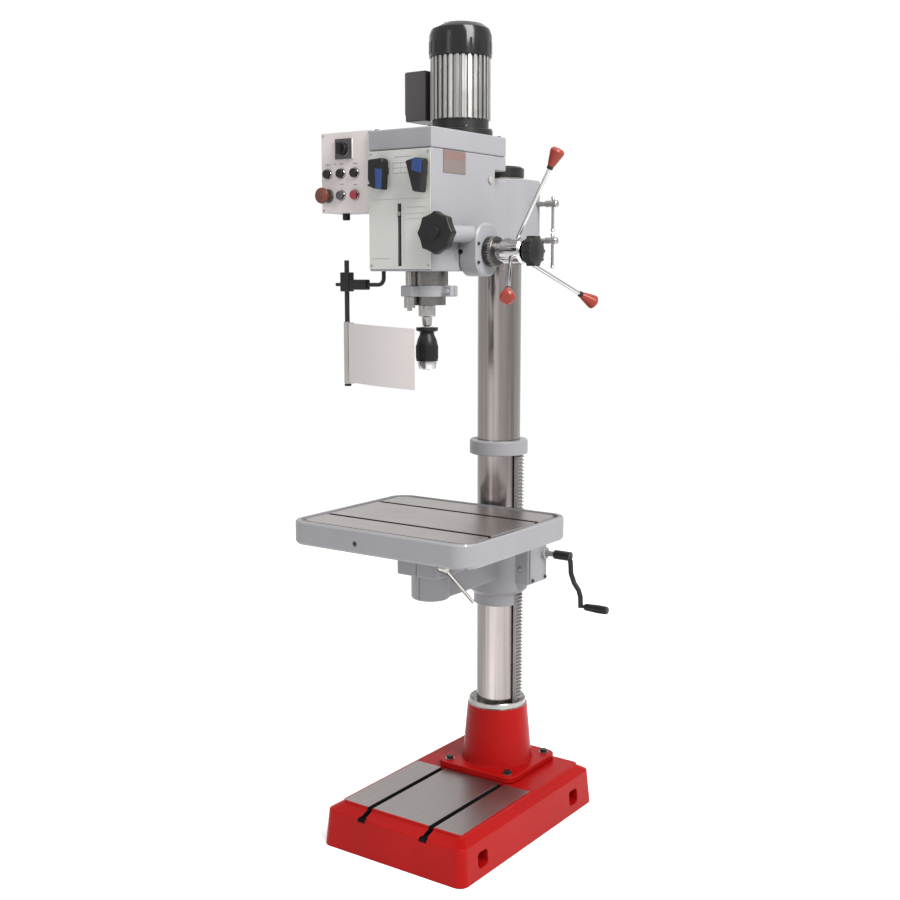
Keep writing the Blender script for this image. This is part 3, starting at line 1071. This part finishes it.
# ------------------------------------------------------------------ chuck guard
def guard():
    """Swinging chuck guard: bent rod, holder, sliding post, hinged rail and clear shield."""
    top_z = HEAD_BOTTOM_Z + 0.007
    corner = [(-0.062 + x, GUARD_Y, GUARD_Z + z) for x, z in arc(-0.016, 0.016, 0.016, 0, -90, 4)]
    bracket = rod("guard_rod", [(-0.062, GUARD_Y, top_z)] + corner + [(-0.140, GUARD_Y, GUARD_Z)], 0.005, None)
    holder = box("guard_holder", (-0.1640, GUARD_Y - 0.0110, GUARD_Z - 0.0125), (-0.1120, GUARD_Y + 0.0110, GUARD_Z + 0.0125),
                 "black_plastic", 0.003)
    cross = box("guard_cross", (GUARD_X - 0.0125, GUARD_Y - 0.0125, GUARD_Z - 0.0170),
                (GUARD_X + 0.0135, GUARD_Y + 0.0125, GUARD_Z + 0.0300), bevel=0.003)
    thumb = cylinder("guard_thumb", 0.0045, 0.010, 0.0330, (GUARD_X, GUARD_Y, GUARD_Z), "-X")
    join(holder, cross, thumb, bracket)
    cut(holder, cylinder("guard_post_bore", 0.0060 + RUN, 1.39, 1.48, (GUARD_X, GUARD_Y, 0)))
    post = turned("guard_post", [
        (0, 1.4900), (0.0050, 1.4900), (0.0060, 1.4885), (0.0060, 1.1870), (0.0085, 1.1870), (0.0085, 1.1820),
        (0, 1.1820),
    ], "steel", (GUARD_X, GUARD_Y, 0), steps=SMALL_ROUND)
    rail = tube("guard_rail", 0.0090, 0.0060 + RUN, 1.1880, 1.3400, "aluminium", (GUARD_X, GUARD_Y, 0), steps=SMALL_ROUND)
    join(rail, box("guard_lip", (GUARD_X + 0.0070, GUARD_Y - 0.0045, 1.1890), (GUARD_X + 0.0220, GUARD_Y - 0.0015, 1.3390)))
    length, thickness, sag, droop = 0.202, 0.003, 0.010, 0.045
    start = GUARD_X + 0.0100
    front, back = [], []
    for i in range(13):
        share = i / 12
        x, y = start + length * share, GUARD_Y - 0.0050 - sag * math.sin(math.pi * share)
        front.append((x, y - thickness))
        back.append((x, y))
    shield = outline_solid("guard_shield", front + back[::-1], 0.1460, "clear_plastic", (0, 0, 1.2650))
    for vertex in shield.data.vertices:
        vertex.co.z -= droop * (vertex.co.x - start)
    return holder, post, rail, shield


# ------------------------------------------------------------------ assembly
def build():
    base_casting()
    column_foot()
    column()
    rack_ring()
    carry(pivot("rack_swing", (0, COLUMN_Y, 0)), table_rack())

    arm_pieces = [table_arm(), lift_gear_cover()]
    carry(pivot("table_lift", (0, COLUMN_Y, ARM_TOP_Z)), *arm_pieces)
    pinion, worm = lift_gears()
    crank, grip = lift_crank(worm)
    carry(pivot("lift_pinion_turn", lift_pinion_place()), pinion)
    carry(pivot("crank_turn", (0.15, LIFT_WORM_Y, LIFT_WORM_Z)), crank)
    carry(pivot("crank_grip_spin", (0.28, LIFT_WORM_Y, LIFT_WORM_Z - CRANK_THROW)), grip)
    lock_at = (BLOCK_HALF + GAP, LOCK_Y, LOCK_Z)
    carry(pivot("table_lock", lock_at),
          lock_lever("table_lock_lever", lock_at, "+X", (0.074, COLUMN_Y - 0.231, 0.630), 0.080))
    arm_lock_at = (-0.034 - GAP, COLUMN_Y + 0.096, 0.700)
    carry(pivot("arm_lock", arm_lock_at),
          lock_lever("arm_lock_lever", arm_lock_at, "-X", (-0.052, COLUMN_Y + 0.130, 0.585), -GAP + 0.055))
    carry(pivot("table_turn", (0, TABLE_Y, ARM_TOP_Z)), table_top())

    head_pieces = [head_casting(), head_cover(), front_panel(), oil_sight_glass(), feed_housing()]
    cup, spring = return_spring()
    motor_pieces, rotor = motor()
    case, panel = control_box()
    switch, buttons, stop = controls()
    holder, post, rail, shield = guard()
    carry(pivot("head_swivel", (0, COLUMN_Y, CLAMP_LOW_Z)), *head_pieces, cup, spring, *motor_pieces,
          case, panel, holder)

    for screw in head_clamp_screws():
        carry(pivot(f"{screw.name}_turn", screw.location), screw)

    carry(pivot("quill_feed", (0, SPINDLE_Y, QUILL_BOTTOM_Z)), quill(), quill_collar(), depth_gauge())
    core, sleeve = chuck()
    carry(pivot("spindle_spin", (0, SPINDLE_Y, CHUCK_TOP_Z)), spindle(), core)
    carry(pivot("chuck_turn", (0, SPINDLE_Y, CHUCK_TOP_Z)), sleeve)

    dial, hub, knobs, clutch = feed_hub()
    carry(pivot("feed_turn", (0, FEED_Y, FEED_Z)), feed_shaft(), dial, hub, *knobs)
    carry(pivot("clutch_turn", (HUB_END_X, FEED_Y, FEED_Z)), clutch)
    feed_wheel, handwheel = fine_feed()
    carry(pivot("fine_feed_turn", (WHEEL_X, WHEEL_Y, WHEEL_Z)), handwheel)
    carry(pivot("fine_wheel_turn", (WHEEL_X, FEED_Y, FEED_Z)), feed_wheel)

    bull, counter = gear_train()
    carry(pivot("spindle_gear_spin", (0, SPINDLE_Y, 1.684)), bull)
    carry(pivot("countershaft_spin", (0, COUNTER_Y, 1.70)), counter)
    carry(pivot("motor_spin", (0, MOTOR_Y, 1.90)), rotor)

    for name, lever, (x, z) in zip(("left", "right"), gear_levers(), gear_lever_places()):
        carry(pivot(f"gear_lever_{name}_turn", (x, HEAD_FRONT_Y, z)), lever)
    carry(pivot("main_switch_turn", (SWITCH_X, PANEL_Y[0], SWITCH_Z)), switch)
    for button in (*buttons, stop):
        carry(pivot(f"{button.name}_press", button.location), button)
    carry(pivot("guard_height", (GUARD_X, GUARD_Y, GUARD_Z)), post)
    carry(pivot("guard_swing", (GUARD_X, GUARD_Y, GUARD_Z)), rail, shield)


build()
